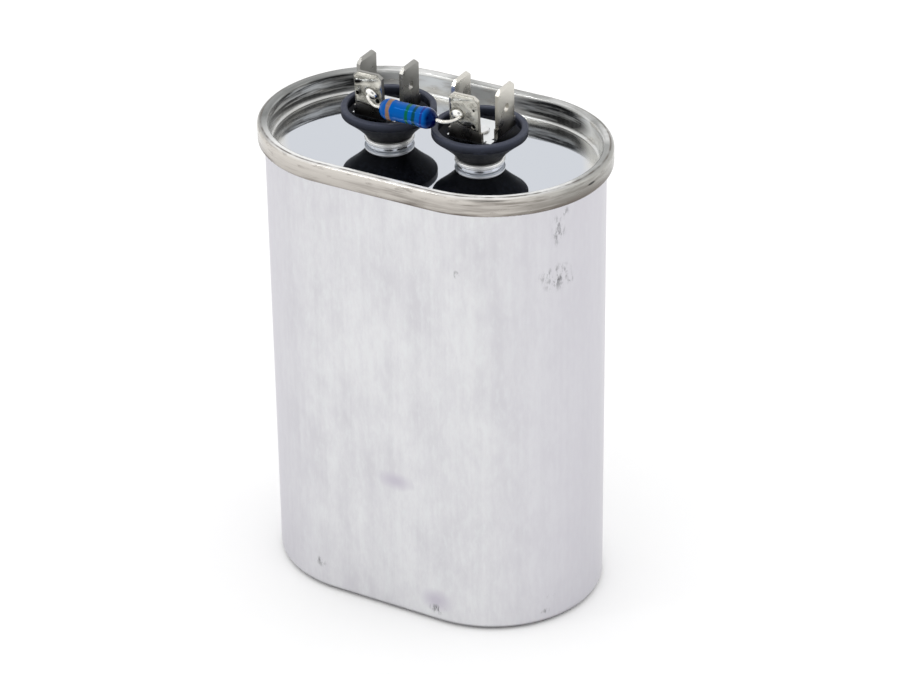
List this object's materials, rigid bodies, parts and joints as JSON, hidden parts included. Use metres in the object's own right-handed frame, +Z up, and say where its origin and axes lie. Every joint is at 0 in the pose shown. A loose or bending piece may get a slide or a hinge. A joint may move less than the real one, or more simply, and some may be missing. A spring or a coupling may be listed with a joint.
{
  "type": "motor run capacitor",
  "caption": "Oval metal-cased motor run capacitor with seamed lid, bladed terminals in black insulator cups, and a blue bleed resistor across them.",
  "frame": {"origin": "centre of the can's flat base", "axes": "+X along the long way of the oval, -Y towards the side with the bleed resistor, +Z up to the terminals"},
  "size_m": [0.0738, 0.0486, 0.1123],
  "materials": {
    "can_metal": "satin drawn aluminium",
    "lid_metal": "bright tin plate",
    "cup_plastic": "matt moulded black",
    "blade_metal": "tinned brass sheet",
    "rivet_metal": "tinned brass",
    "solder_metal": "lumpy tin solder",
    "lead_metal": "tinned wire",
    "blue_lacquer": "gloss lacquer with colour bands",
    "ceramic": "plain fired ceramic",
    "cap_metal": "plated",
    "seal_rubber": "matt",
    "phenolic": "matt",
    "inner_brass": "plain",
    "pressboard": "oil-soaked pressboard",
    "film": "wound metallised film",
    "core_plastic": "plain",
    "zinc": "dull sprayed zinc"
  },
  "bodies": {
    "root": {"can": "can_metal", "lid": "lid_metal", "left_cup": "cup_plastic", "right_cup": "cup_plastic", "left_terminal": "blade_metal", "right_terminal": "blade_metal", "left_rivet": "rivet_metal", "right_rivet": "rivet_metal", "left_solder": "solder_metal", "right_solder": "solder_metal", "left_bleed_lead": "lead_metal", "right_bleed_lead": "lead_metal", "bleed_coat": "blue_lacquer", "bleed_rod": "ceramic", "left_bleed_cap": "cap_metal", "right_bleed_cap": "cap_metal", "seam_compound": "seal_rubber", "left_gasket": "seal_rubber", "right_gasket": "seal_rubber", "left_bushing": "phenolic", "right_bushing": "phenolic", "left_lug": "inner_brass", "right_lug": "inner_brass", "left_ribbon": "inner_brass", "right_ribbon": "inner_brass", "can_liner": "pressboard", "bottom_board": "pressboard", "top_board": "pressboard", "roll_wrap": "pressboard", "film_roll": "film", "core_tube": "core_plastic", "bottom_spray": "zinc", "top_spray": "zinc"}
  },
  "joints": []
}
